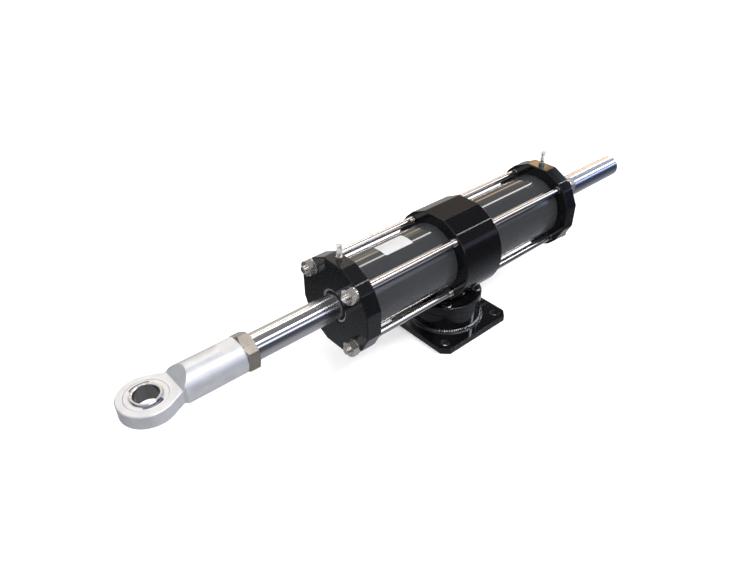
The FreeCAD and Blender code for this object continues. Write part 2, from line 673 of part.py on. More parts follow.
def piston():
    """Piston with one seal groove and two wear-ring grooves."""
    half = PISTON_L / 2
    outer = BORE_D / 2 - PISTON_GAP
    body = turned_x([
        (ROD_REST - half, ROD_R + SEAT), (ROD_REST - half, outer - PISTON_EDGE),
        (ROD_REST - half + PISTON_EDGE, outer), (ROD_REST + half - PISTON_EDGE, outer),
        (ROD_REST + half, outer - PISTON_EDGE), (ROD_REST + half, ROD_R + SEAT),
    ])
    seal_floor = BORE_D / 2 - PISTON_SEAL_DEPTH
    body = body.cut(sleeve_x(
        BARREL_R, seal_floor, ROD_REST - PISTON_SEAL_L / 2, ROD_REST + PISTON_SEAL_L / 2))
    for x_start, x_end in wear_ring_spans():
        body = body.cut(sleeve_x(BARREL_R, BORE_D / 2 - WEAR_RING_DEPTH, x_start, x_end))
    return body


def wear_ring_spans():
    """Where the two wear rings start and end along the rod."""
    half = WEAR_RING_L / 2
    centres = (ROD_REST - WEAR_RING_OFFSET, ROD_REST + WEAR_RING_OFFSET)
    return [(centre - half, centre + half) for centre in centres]


def piston_seal():
    """Sliding ring that parts the two oil chambers."""
    inner = BORE_D / 2 - PISTON_SEAL_DEPTH + SEAT
    return sleeve_x(
        BORE_D / 2 - RUNNING, inner, ROD_REST - PISTON_SEAL_L / 2, ROD_REST + PISTON_SEAL_L / 2)


def wear_rings():
    """The two guide rings of the piston."""
    inner = BORE_D / 2 - WEAR_RING_DEPTH + SEAT
    return group([
        sleeve_x(BORE_D / 2 - RUNNING, inner, x_start, x_end) for x_start, x_end in wear_ring_spans()
    ])


def lock_nut():
    """Thin nut that locks the rod end on the rod's thread."""
    nut = hex_x(LOCK_NUT_AF, LOCK_NUT_FRONT, LOCK_NUT_BACK)
    return nut.cut(bar_x(ROD_THREAD_D / 2 + SEAT, LOCK_NUT_FRONT - PAST, LOCK_NUT_BACK + PAST))


def rod_end_body():
    """Round shank of the rod end, rounded down to the width of the eye's root."""
    body_top, root_top = AXIS_H + END_BODY_D / 2, AXIS_H + EYE_ROOT_W / 2
    half_way = math.sin(math.radians(45))
    start = Vector(SLOPE_FOOT_X + SHOULDER_R, 0, body_top)
    middle = Vector(
        SLOPE_FOOT_X + SHOULDER_R * (1 - half_way), 0, root_top + (body_top - root_top) * half_way)
    end = Vector(SLOPE_FOOT_X, 0, root_top)
    corners = [
        end, Vector(SLOPE_FOOT_X, 0, AXIS_H), Vector(LOCK_NUT_FRONT, 0, AXIS_H),
        Vector(LOCK_NUT_FRONT, 0, body_top - END_BODY_EDGE),
        Vector(LOCK_NUT_FRONT - END_BODY_EDGE, 0, body_top), start,
    ]
    edges = [Part.makeLine(a, b) for a, b in zip(corners, corners[1:])]
    edges.append(Part.Arc(start, middle, end).toShape())
    return Part.Face(Part.Wire(edges)).revolve(CYLINDER_AXIS, ALONG_X, 360)


def eye_plate():
    """Flat eye: a round end, tapering along tangents to its root in the shank."""
    eye_r, root = EYE_D / 2, EYE_ROOT_W / 2
    reach = math.hypot(EYE_FROM_SLOPE, root)
    tangent = math.atan2(root, EYE_FROM_SLOPE) + math.acos(eye_r / reach)
    foot = AXIS_H - EYE_T / 2
    upper = Vector(EYE_X + eye_r * math.cos(tangent), eye_r * math.sin(tangent), foot)
    lower = Vector(upper.x, -upper.y, foot)
    inside = SLOPE_FOOT_X + SHOULDER_R
    corners = [
        lower, Vector(SLOPE_FOOT_X, -root, foot), Vector(inside, -root, foot),
        Vector(inside, root, foot), Vector(SLOPE_FOOT_X, root, foot), upper,
    ]
    edges = [Part.makeLine(a, b) for a, b in zip(corners, corners[1:])]
    edges.append(Part.Arc(upper, Vector(EYE_X - eye_r, 0, foot), lower).toShape())
    plate = Part.Face(Part.Wire(edges)).extrude(ALONG_Z * EYE_T)
    rims = []
    for edge in plate.Edges:
        flat = abs(edge.Vertexes[0].Point.z - edge.Vertexes[-1].Point.z) < SEAT
        outline = all(vertex.Point.x < SLOPE_FOOT_X + SEAT for vertex in edge.Vertexes)
        if flat and outline:
            rims.append(edge)
    return plate.makeChamfer(EYE_EDGE, rims)


def rod_end():
    """Forged rod end: shank with spanner flats, milled slopes and the eye."""
    body_r = END_BODY_D / 2
    body = rod_end_body()
    slope_top = SHOULDER_X + PAST
    slope_end = SLOPE_FOOT_X - PAST
    for side in (-1, 1):
        wedge = closed_face([
            Vector(slope_top, -body_r, AXIS_H + side * (body_r + PAST)),
            Vector(slope_end, -body_r, AXIS_H + side * (body_r + PAST)),
            Vector(slope_end, -body_r, AXIS_H + side * (EYE_T / 2 - PAST)),
        ]).extrude(ALONG_Y * END_BODY_D)
        body = body.cut(wedge)
        flat = Part.makeBox(
            END_FLAT_L + PAST, END_BODY_D, body_r,
            Vector(LOCK_NUT_FRONT - END_FLAT_L, -body_r,
                   AXIS_H + (END_FLAT_AF / 2 if side > 0 else -END_FLAT_AF / 2 - body_r)))
        body = body.cut(flat)
    body = body.fuse(eye_plate())
    body = body.cut(drilled_x(
        ROD_THREAD_D / 2 + SEAT, LOCK_NUT_FRONT, LOCK_NUT_FRONT - END_THREAD_L))
    eye_bore = bar_z(RACE_D / 2 + SEAT, AXIS_H - EYE_T, AXIS_H + EYE_T, x=EYE_X)
    return body.cut(eye_bore).removeSplitter()


def eye_race():
    """Bearing's outer ring, with the slots that let the ball in edgewise."""
    half = EYE_T / 2
    outer = RACE_D / 2
    ball_r = BALL_D / 2 + RUNNING
    ring = turned_z([
        (0, AXIS_H - half), (outer - RACE_EDGE, AXIS_H - half), (outer, AXIS_H - half + RACE_EDGE),
        (outer, AXIS_H + half - RACE_EDGE), (outer - RACE_EDGE, AXIS_H + half), (0, AXIS_H + half),
    ], x=EYE_X)
    ring = ring.cut(Part.makeSphere(ball_r, Vector(EYE_X, 0, AXIS_H)))
    slot_r = ball_r + LOADING_SLOT_GAP
    slot_w = BALL_W + 2 * RUNNING
    slab = Part.makeBox(
        slot_w, 2 * slot_r, half + PAST, Vector(EYE_X - slot_w / 2, -slot_r, AXIS_H))
    slot = bar_z(slot_r, AXIS_H, AXIS_H + half + PAST, x=EYE_X).common(slab)
    return ring.cut(slot)


def eye_ball():
    """Bearing's inner ring: a ball cut off flat at both faces and bored for the pin."""
    half = BALL_W / 2
    bore_r = BALL_BORE_D / 2
    centre = Vector(EYE_X, 0, AXIS_H)
    band = bar_z(BALL_D, AXIS_H - half, AXIS_H + half, x=EYE_X)
    ball = Part.makeSphere(BALL_D / 2, centre).common(band)
    bore = turned_z([
        (0, AXIS_H - half - PAST), (bore_r + BALL_EDGE + PAST, AXIS_H - half - PAST),
        (bore_r, AXIS_H - half + BALL_EDGE), (bore_r, AXIS_H + half - BALL_EDGE),
        (bore_r + BALL_EDGE + PAST, AXIS_H + half + PAST), (0, AXIS_H + half + PAST),
    ], x=EYE_X)
    return ball.cut(bore)


def end_pieces():
    """Pieces that both ends of the cylinder have, as they lie at the rear."""
    places = tie_places()
    return {
        "cap": end_cap(),
        "rod_bush": rod_bush(),
        "rod_seal": rod_seal(),
        "wiper": wiper(),
        "gland_circlip": gland_circlip(),
        "barrel_o_ring": barrel_o_ring(),
        "tie_rods": group([tie_rod(y, z) for y, z in places]),
        "tie_nuts": group([tie_nut(y, z) for y, z in places]),
        "tie_washers": group([tie_washer(y, z) for y, z in places]),
        "bleed_screw": bleed_screw(),
        "dust_cap": dust_cap(),
    }


def all_pieces():
    """Every piece of the cylinder by its node name."""
    pieces = {
        "base_plate": base_plate(),
        "swivel_cup": swivel_cup(),
        "weld_bead": weld_bead(),
        "swivel_bush": swivel_bush(),
        "lower_thrust_washer": lower_thrust_washer(),
        "upper_thrust_washer": upper_thrust_washer(),
        "retainer_ring": retainer_ring(),
        "retainer_screws": group([retainer_screw(x, y) for x, y in screw_places()]),
        "centre_block": centre_block(),
        "pivot_pin": pivot_pin(),
        "barrel": barrel(),
        "piston_rod": piston_rod(),
        "piston": piston(),
        "piston_seal": piston_seal(),
        "wear_rings": wear_rings(),
        "piston_circlips": piston_circlips(),
        "lock_nut": lock_nut(),
        "rod_end": rod_end(),
        "eye_race": eye_race(),
        "eye_ball": eye_ball(),
    }
    for name, shape in end_pieces().items():
        pieces["rear_" + name] = shape
        pieces["front_" + name] = mirrored(shape)
    return pieces


def main():
    """Write one STEP file for each piece."""
    os.makedirs("parts", exist_ok=True)
    for name, shape in all_pieces().items():
        solids = shape.Solids
        result = solids[0] if len(solids) == 1 else Part.makeCompound(solids)
        result.exportStep(os.path.join("parts", name + ".step"))
        print(name, len(solids), round(shape.Volume, 1), shape.isValid())


main()
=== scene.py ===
"""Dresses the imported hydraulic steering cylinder.

It gives every node its finish, adds threads, weld bead, knurled screws and sticker, and sets the studio.
"""

import logging
import math
from dataclasses import dataclass
from enum import Enum
from typing import Callable, Sequence

import bmesh
import bpy
from mathutils import Matrix, Vector

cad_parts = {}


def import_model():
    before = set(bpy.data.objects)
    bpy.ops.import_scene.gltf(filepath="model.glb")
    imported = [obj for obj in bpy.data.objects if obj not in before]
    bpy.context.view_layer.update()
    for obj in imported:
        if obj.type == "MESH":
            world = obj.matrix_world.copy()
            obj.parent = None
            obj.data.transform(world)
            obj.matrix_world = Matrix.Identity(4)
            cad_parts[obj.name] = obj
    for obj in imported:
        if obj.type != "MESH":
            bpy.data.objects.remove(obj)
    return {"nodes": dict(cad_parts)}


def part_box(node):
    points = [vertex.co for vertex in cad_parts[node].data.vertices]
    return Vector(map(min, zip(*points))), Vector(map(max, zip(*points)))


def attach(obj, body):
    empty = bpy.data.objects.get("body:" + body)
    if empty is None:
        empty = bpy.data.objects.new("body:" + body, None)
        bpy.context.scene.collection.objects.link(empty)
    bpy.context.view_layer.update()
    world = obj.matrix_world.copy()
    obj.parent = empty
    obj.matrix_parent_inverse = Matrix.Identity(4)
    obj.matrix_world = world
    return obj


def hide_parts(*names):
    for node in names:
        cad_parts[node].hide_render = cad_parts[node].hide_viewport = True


LOG = logging.getLogger("steering_cylinder")
MM = 0.001
MERGE_DISTANCE = 1e-6
EMPTY_EDGE = 1e-7

Colour = tuple[float, float, float]
Profile = list[tuple[float, float]]


class Body(Enum):
    """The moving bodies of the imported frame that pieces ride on."""

    FOOT = "foot"
    CYLINDER = "cylinder"


class Side(Enum):
    """The two ends of the cylinder, with the sign of X at each."""

    FRONT = -1
    REAR = 1

    @property
    def label(self) -> str:
        """The end's name as the CAD nodes spell it."""
        return self.name.lower()


# Finishes


class Graph:
    """A material's nodes, with short calls for what the finishes have in common."""

    def __init__(self, name: str) -> None:
        """Start a material whose Principled shader is ready to be set."""
        self.material = bpy.data.materials.new(name)
        self.material.use_nodes = True
        self.nodes = self.material.node_tree.nodes
        self.links = self.material.node_tree.links
        self.shader = self.nodes["Principled BSDF"]

    def set(self, **values: float | Colour) -> None:
        """Set sockets of the shader to one value all over the surface.

        Args:
            values: Socket names in lower case with underscores, and their values.
        """
        for key, value in values.items():
            socket = self.shader.inputs[key.replace("_", " ").title().replace("Ior", "IOR")]
            socket.default_value = (*value, 1.0) if isinstance(value, tuple) else value

    def place(self, stretch: Colour = (1.0, 1.0, 1.0)) -> bpy.types.NodeSocket:
        """Give the surface's own coordinates in metres.

        Args:
            stretch: Factor on each axis, below 1 to draw a pattern out along it.

        Returns:
            The socket that carries the coordinates.
        """
        source = self.nodes.new("ShaderNodeTexCoord")
        mapping = self.nodes.new("ShaderNodeMapping")
        mapping.inputs["Scale"].default_value = stretch
        self.links.new(source.outputs["Object"], mapping.inputs["Vector"])
        return mapping.outputs["Vector"]

    def noise(self, grain: float, detail: float = 3.0,
              stretch: Colour = (1.0, 1.0, 1.0)) -> bpy.types.NodeSocket:
        """Add a noise pattern.

        Args:
            grain: Size of the pattern's spots in metres.
            detail: How many finer layers it has.
            stretch: Factor on each axis.

        Returns:
            The socket with the pattern, from 0 to 1.
        """
        node = self.nodes.new("ShaderNodeTexNoise")
        node.inputs["Scale"].default_value = 1.0 / grain
        node.inputs["Detail"].default_value = detail
        self.links.new(self.place(stretch), node.inputs["Vector"])
        return node.outputs["Fac"]

    def brush(self) -> None:
        """Smear reflections along the X axis, as grinding marks round it do."""
        tangent = self.nodes.new("ShaderNodeTangent")
        tangent.direction_type, tangent.axis = "RADIAL", "X"
        self.links.new(tangent.outputs["Tangent"], self.shader.inputs["Tangent"])
        self.set(anisotropic=1.0, anisotropic_rotation=0.25)

    def lie(self) -> bpy.types.NodeSocket:
        """Give 1 on faces that look up, 0 on upright walls and -1 on faces that look down, as a mask for
        painting shade by which way a face looks.
        """
        source = self.nodes.new("ShaderNodeTexCoord")
        parts = self.nodes.new("ShaderNodeSeparateXYZ")
        self.links.new(source.outputs["Normal"], parts.inputs["Vector"])
        return parts.outputs["Z"]

    def spread(self, value: bpy.types.NodeSocket, low: float, high: float,
               start: float = 0.3, end: float = 0.7) -> bpy.types.NodeSocket:
        """Map a pattern onto a range of values.

        Args:
            value: The pattern.
            low: Result at start and below.
            high: Result at end and above.
            start: Pattern value that gives low.
            end: Pattern value that gives high.

        Returns:
            The socket with the mapped value.
        """
        node = self.nodes.new("ShaderNodeMapRange")
        node.inputs["From Min"].default_value = start
        node.inputs["From Max"].default_value = end
        node.inputs["To Min"].default_value = low
        node.inputs["To Max"].default_value = high
        self.links.new(value, node.inputs["Value"])
        return node.outputs["Result"]

    def tint(self, value: bpy.types.NodeSocket, low: Colour, high: Colour,
             start: float = 0.3, end: float = 0.7) -> None:
        """Colour the surface between two colours by a pattern.

        Args:
            value: The pattern.
            low: Colour at start and below.
            high: Colour at end and above.
            start: Pattern value that gives low.
            end: Pattern value that gives high.
        """
        node = self.nodes.new("ShaderNodeValToRGB")
        node.color_ramp.elements[0].position = start
        node.color_ramp.elements[0].color = (*low, 1.0)
        node.color_ramp.elements[1].position = end
        node.color_ramp.elements[1].color = (*high, 1.0)
        self.links.new(value, node.inputs["Fac"])
        self.links.new(node.outputs["Color"], self.shader.inputs["Base Color"])

    def rounded_edges(self, radius: float) -> bpy.types.NodeSocket:
        """Give normals that round every sharp edge, as paint and deburring do.

        Args:
            radius: Radius of the rounding in metres.

        Returns:
            The socket with the normal.
        """
        node = self.nodes.new("ShaderNodeBevel")
        node.samples = 6
        node.inputs["Radius"].default_value = radius
        return node.outputs["Normal"]

    def relief(self, height: bpy.types.NodeSocket, depth: float,
               normal: bpy.types.NodeSocket | None = None) -> bpy.types.NodeSocket:
        """Raise the surface by a pattern.

        Args:
            height: The pattern.
            depth: Height of the pattern in metres.
            normal: Normal that it starts from.

        Returns:
            The socket with the new normal.
        """
        node = self.nodes.new("ShaderNodeBump")
        node.inputs["Distance"].default_value = depth
        if normal is not None:
            self.links.new(normal, node.inputs["Normal"])
        self.links.new(height, node.inputs["Height"])
        return node.outputs["Normal"]


@dataclass(frozen=True)
class GlossPaint:
    """Thick gloss paint over steel, near a mirror, with faint orange peel and rounded edges."""

    name: str
    pale: Colour
    deep: Colour
    roughness: tuple[float, float] = (0.025, 0.06)
    peel: float = 0.0000025
    edge: float = 0.0020
    cloud: float = 0.05
    patch: float = 0.012
    peel_grain: float = 0.0035

    def material(self) -> bpy.types.Material:
        """Build the paint's material."""
        graph = Graph(self.name)
        graph.set(ior=1.5, coat_weight=0.25, coat_roughness=0.02)
        graph.tint(graph.noise(self.cloud, 4.0), self.deep, self.pale)
        rough = graph.spread(graph.noise(self.patch, 4.0), *self.roughness)
        graph.links.new(rough, graph.shader.inputs["Roughness"])
        normal = graph.relief(graph.noise(self.peel_grain, 1.0), self.peel, graph.rounded_edges(self.edge))
        graph.links.new(normal, graph.shader.inputs["Normal"])
        return graph.material


@dataclass(frozen=True)
class BareMetal:
    """Bare metal with the marks of how it was made, and where asked a painted shade that darkens its upright
    and downward faces.
    """

    name: str
    bright: Colour
    dull: Colour
    roughness: tuple[float, float]
    grain: float = 0.0012
    depth: float = 0.000002
    stretch: Colour = (1.0, 1.0, 1.0)
    blotch: float = 0.02
    edge: float = 0.0003
    metallic: float = 1.0
    # Colour painted on upright walls and downward faces, a painted shade against the lit tops; None for no
    # painted shade
    upright: Colour | None = None
    ground: bool = False

    def material(self) -> bpy.types.Material:
        """Build the metal's material."""
        graph = Graph(self.name)
        graph.set(metallic=self.metallic)
        if self.ground:
            graph.brush()
        # Painted shade: top faces keep the bright colour, while upright walls and downward faces take the
        # darker upright colour
        if self.upright:
            graph.tint(graph.lie(), self.upright, self.bright, 0.25, 0.6)
        else:
            graph.tint(graph.noise(self.blotch, 4.0), self.dull, self.bright)
        marks = graph.noise(self.grain, 3.0, self.stretch)
        graph.links.new(graph.spread(marks, *self.roughness), graph.shader.inputs["Roughness"])
        normal = graph.relief(marks, self.depth, graph.rounded_edges(self.edge))
        graph.links.new(normal, graph.shader.inputs["Normal"])
        return graph.material


@dataclass(frozen=True)
class Moulded:
    """Moulded rubber or plastic with a fine skin."""

    name: str
    pale: Colour
    deep: Colour
    roughness: tuple[float, float]
    grain: float = 0.0008
    depth: float = 0.000012
    clear: float = 0.0
    cloud: float = 0.006

    def material(self) -> bpy.types.Material:
        """Build the moulding's material."""
        graph = Graph(self.name)
        graph.set(transmission_weight=self.clear, ior=1.46)
        graph.tint(graph.noise(self.cloud, 3.0), self.deep, self.pale)
        skin = graph.noise(self.grain, 4.0)
        graph.links.new(graph.spread(skin, *self.roughness), graph.shader.inputs["Roughness"])
        graph.links.new(graph.relief(skin, self.depth), graph.shader.inputs["Normal"])
        return graph.material


class Finish(Enum):
    """Every finish on the cylinder."""

    BLACK_PAINT = GlossPaint("gloss_black_paint", (0.0045, 0.0045, 0.0052), (0.0030, 0.0030, 0.0034))
    GREY_PAINT = GlossPaint("grey_barrel_paint", (0.039, 0.040, 0.042), (0.034, 0.035, 0.037), edge=0.0003)
    WELD_PAINT = GlossPaint("gloss_black_weld", (0.0045, 0.0045, 0.0052), (0.0030, 0.0030, 0.0034),
                            peel=0.0004, edge=0.0002)
    BLACK_STEEL = BareMetal("oiled_screw_steel", (0.30, 0.29, 0.28), (0.12, 0.115, 0.11), (0.20, 0.40))
    STAINLESS = BareMetal("drawn_stainless", (0.96, 0.90, 0.86), (0.90, 0.84, 0.80), (0.06, 0.13),
                          grain=0.0007, depth=0.0000012, stretch=(0.06, 1.0, 1.0))
    NUT_STEEL = BareMetal("pressed_nut_steel", (0.84, 0.79, 0.73), (0.74, 0.69, 0.635), (0.07, 0.15),
                          grain=0.0009, depth=0.0000015, blotch=0.012, edge=0.0002, metallic=0.93)
    CHROME = BareMetal("ground_hard_chrome", (0.80, 0.80, 0.81), (0.76, 0.76, 0.77), (0.15, 0.19),
                       grain=0.0009, depth=0.0000002, stretch=(1.0, 0.1, 0.1), ground=True)
    ZINC = BareMetal("satin_zinc", (0.61, 0.615, 0.625), (0.52, 0.53, 0.545), (0.34, 0.50),
                     grain=0.0010, depth=0.000014, blotch=0.012, edge=0.0006, metallic=0.62)
    PLAIN_STEEL = BareMetal("worn_plain_steel", (0.57, 0.52, 0.445), (0.45, 0.405, 0.345), (0.26, 0.38),
                            grain=0.0011, depth=0.000006, blotch=0.012)
    # Painted shade: the bearing steel is painted darker on its upright and downward faces than on its tops
    BEARING_STEEL = BareMetal("polished_bearing_steel", (0.88, 0.88, 0.90), (0.80, 0.80, 0.83), (0.06, 0.12),
                              upright=(0.30, 0.29, 0.285))
    SPRING_STEEL = BareMetal("oiled_spring_steel", (0.62, 0.61, 0.60), (0.50, 0.49, 0.48), (0.14, 0.24),
                             metallic=0.5)
    BLEED_STEEL = BareMetal("plated_bleed_steel", (0.60, 0.58, 0.53), (0.46, 0.44, 0.40), (0.2, 0.32))
    TURNED_STEEL = BareMetal("lathe_turned_steel", (0.60, 0.60, 0.60), (0.48, 0.48, 0.48), (0.2, 0.3),
                             grain=0.0008, depth=0.000005, stretch=(0.1, 0.1, 1.0))
    BRONZE = BareMetal("bearing_bronze", (0.66, 0.42, 0.20), (0.48, 0.28, 0.12), (0.25, 0.38))
    RUBBER = Moulded("black_seal_rubber", (0.016, 0.016, 0.017), (0.009, 0.009, 0.010), (0.38, 0.60))
    SLIDE_PLASTIC = Moulded("filled_slide_plastic", (0.24, 0.15, 0.07), (0.15, 0.09, 0.045), (0.35, 0.55))
    CLEAR_PLASTIC = Moulded("clear_cap_plastic", (0.95, 0.95, 0.95), (0.88, 0.885, 0.88), (0.06, 0.14),
                            depth=0.000003, clear=0.90)
    STICKER = Moulded("blank_white_sticker", (0.52, 0.515, 0.52), (0.48, 0.475, 0.48), (0.30, 0.42),
                      depth=0.000003)

    def make(self) -> bpy.types.Material:
        """Give the finish's material, built at the first call."""
        if self not in MADE:
            MADE[self] = self.value.material()
        return MADE[self]


MADE: dict[Finish, bpy.types.Material] = {}
SLOT_FINISH = {
    "black_paint": Finish.BLACK_PAINT,
    "grey_paint": Finish.GREY_PAINT,
    "black_steel": Finish.BLACK_STEEL,
    "stainless": Finish.STAINLESS,
    "hard_chrome": Finish.CHROME,
    "zinc_steel": Finish.ZINC,
    "plain_steel": Finish.PLAIN_STEEL,
    "bearing_steel": Finish.BEARING_STEEL,
    "spring_steel": Finish.SPRING_STEEL,
    "bleed_steel": Finish.BLEED_STEEL,
    "turned_steel": Finish.TURNED_STEEL,
    "bronze": Finish.BRONZE,
    "seal_rubber": Finish.RUBBER,
    "slide_plastic": Finish.SLIDE_PLASTIC,
    "clear_plastic": Finish.CLEAR_PLASTIC,
}
NODE_FINISH = {
    f"{side.label}_tie_{kind}": Finish.NUT_STEEL for side in Side for kind in ("nuts", "washers")
}


# Mesh making


def solid(name: str, points: Sequence[Vector], faces: Sequence[Sequence[int]], finish: Finish,
          sharp: float = 30.0) -> bpy.types.Object:
    """Make one mesh object in the part's own frame.

    Args:
        name: The piece's name.
        points: Its vertices in metres.
        faces: Vertex numbers of each face.
        finish: What it is finished in.
        sharp: Angle in degrees above which an edge stays sharp.

    Returns:
        The new object.
    """
    work = bmesh.new()
    verts = [work.verts.new(p) for p in points]
    for face in faces:
        work.faces.new([verts[i] for i in face])
    bmesh.ops.remove_doubles(work, verts=work.verts, dist=MERGE_DISTANCE)
    bmesh.ops.dissolve_degenerate(work, edges=work.edges, dist=EMPTY_EDGE)
    bmesh.ops.recalc_face_normals(work, faces=work.faces)
    for face in work.faces:
        face.smooth = True
    for edge in work.edges:
        edge.smooth = edge.calc_face_angle(0.0) < math.radians(sharp)
    mesh = bpy.data.meshes.new(name)
    work.to_mesh(mesh)
    work.free()
    piece = bpy.data.objects.new(name, mesh)
    bpy.context.collection.objects.link(piece)
    mesh.materials.append(finish.make())
    return piece


def lathe(profile: Profile, place: Callable[[float, float, float], Vector], around: int,
          shift: Callable[[int, float], float] = lambda row, angle: 0.0,
          ) -> tuple[list[Vector], list[list[int]]]:
    """Turn a profile about an axis into rings joined by four-sided faces.

    Args:
        profile: Pairs of distance along the axis and radius.
        place: Gives the point at a distance, radius and angle.
        around: Number of points in each ring.
        shift: Extra radius at a row of the profile and an angle.

    Returns:
        The points and the faces, the ends left open.
    """
    points = [
        place(along, radius + shift(row, math.tau * step / around), math.tau * step / around)
        for row, (along, radius) in enumerate(profile)
        for step in range(around)
    ]
    faces = [
        [row * around + step, row * around + (step + 1) % around,
         (row + 1) * around + (step + 1) % around, (row + 1) * around + step]
        for row in range(len(profile) - 1)
        for step in range(around)
    ]
    return points, faces


def join(pieces: Sequence[bpy.types.Object], name: str) -> bpy.types.Object:
    """Join several objects into one.

    Args:
        pieces: The objects, which are used up.
        name: Name of the joined piece.

    Returns:
        The joined piece.
    """
    work = bmesh.new()
    for piece in pieces:
        work.from_mesh(piece.data)
    mesh = bpy.data.meshes.new(name)
    work.to_mesh(mesh)
    work.free()
    mesh.materials.append(pieces[0].data.materials[0])
    for piece in pieces:
        bpy.data.objects.remove(piece)
    joined = bpy.data.objects.new(name, mesh)
    bpy.context.collection.objects.link(joined)
    return joined


# Sub-assemblies

# One turn of a thread, as shares of its pitch and of its depth where crest and root begin and end
THREAD_TURN = ((0.0, 0.0), (0.16, 0.0), (0.46, 1.0), (0.70, 1.0))


@dataclass
class TieRods:
    """Four tie rods on one side of the block, with real threads at both ends."""

    side: Side
    major_radius: float = 5.0 * MM
    shank_radius: float = 4.5 * MM
    pitch: float = 1.5 * MM
    thread_depth: float = 0.92 * MM
    tip_chamfer: float = 1.0 * MM
    nut_thread: float = 33.0 * MM
    block_thread: float = 24.0 * MM
    run_out_slope: float = 0.4
    run_out_sink: float = 0.1 * MM
    around: int = 28
    core_around: int = 40

    def thread(self, start: float, end: float, tip: bool) -> Profile:
        """Lay out a thread's crest and root edges for one turn after another.

        Args:
            start: Distance from the block where the thread starts.
            end: Distance where it ends.
            tip: Whether the end is the rod's chamfered tip.

        Returns:
            Pairs of distance and radius, at angle zero.
        """
        turns = math.ceil((end - start) / self.pitch)
        rows = [
            (start + (turn + along) * self.pitch, self.major_radius - cut * self.thread_depth)
            for turn in range(-1, turns + 1)
            for along, cut in THREAD_TURN
        ]
        root = self.major_radius - self.thread_depth
        if tip:
            rows = [(x, min(r, max(root, root + end - x))) for x, r in rows]
        return rows

    def helix(self, name: str, start: float, end: float, tip: bool, y: float, z: float) -> bpy.types.Object:
        """Make one threaded length, its ends left open for the rod's core to close.

        Args:
            name: Name of the length.
            start: Distance from the block where it starts.
            end: Distance where it ends.
            tip: Whether the end is the rod's chamfered tip.
            y: The rod's place across.
            z: The rod's height.

        Returns:
            The threaded length.
        """
        rows = self.thread(start, end, tip)
        per_turn = len(THREAD_TURN)
        points, faces = [], []
        for along, radius in rows:
            for step in range(self.around):
                angle = math.tau * step / self.around
                x = along + self.pitch * step / self.around
                reach = radius
                if tip:
                    reach = min(reach, self.major_radius - self.thread_depth + max(0.0, end - x))
                else:
                    run_out = max(0.0, end - x) * self.run_out_slope
                    reach = min(reach, self.shank_radius - self.run_out_sink + run_out)
                x = min(max(x, start), end)
                points.append(Vector((
                    self.side.value * x, y + reach * math.cos(angle), z + reach * math.sin(angle))))
        last = len(rows) - per_turn - 1
        for row in range(last):
            for step in range(self.around):
                turn = per_turn if step + 1 == self.around else 0
                nxt = (step + 1) % self.around
                a, b = row * self.around, (row + 1) * self.around
                faces.append([a + step, a + turn * self.around + nxt, b + turn * self.around + nxt, b + step])
        return solid(name, points, faces, Finish.STAINLESS, sharp=20.0)

    def build(self) -> bpy.types.Object:
        """Make the four rods between the block and the nuts, and put them in place of the CAD's plain ones.

        Returns:
            The four rods as one piece.
        """
        node = f"{self.side.label}_tie_rods"
        low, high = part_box(node)
        inner, outer = sorted((abs(low.x), abs(high.x)))
        offset = high.y - self.major_radius
        middle = (low.z + high.z) / 2
        parts = []
        for number, (across, up) in enumerate(((-1, 1), (1, 1), (1, -1), (-1, -1))):
            y, z = across * offset, middle + up * offset
            parts.append(self.helix(f"nut_end_{number}", outer - self.nut_thread, outer, True, y, z))
            parts.append(self.helix(f"block_end_{number}", inner, inner + self.block_thread, False, y, z))
            parts.append(self.shank(number, inner, outer, y, z))
        rods = join(parts, f"{node}_threaded")
        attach(rods, Body.CYLINDER.value)
        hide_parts(node)
        return rods

    def shank(self, number: int, inner: float, outer: float, y: float, z: float) -> bpy.types.Object:
        """Make one rod's plain core, which runs through both threads and closes both ends.

        Args:
            number: Which of the four rods.
            inner: Distance of the rod's end in the block.
            outer: Distance of the rod's tip.
            y: The rod's place across.
            z: The rod's height.

        Returns:
            The core.
        """
        core = self.major_radius - self.thread_depth
        plain = (inner + self.block_thread, outer - self.nut_thread)
        slope = self.shank_radius - core
        profile = [
            (inner, 0.0), (inner, core), (plain[0] - slope, core), (plain[0], self.shank_radius),
            (plain[1], self.shank_radius), (plain[1] + slope, core), (outer, core), (outer, 0.0),
        ]

        def place(x: float, radius: float, angle: float) -> Vector:
            """Put a profile point round the rod's own axis."""
            return Vector((self.side.value * x, y + radius * math.cos(angle), z + radius * math.sin(angle)))

        points, faces = lathe(profile, place, self.core_around)
        return solid(f"core_{number}", points, faces, Finish.STAINLESS)


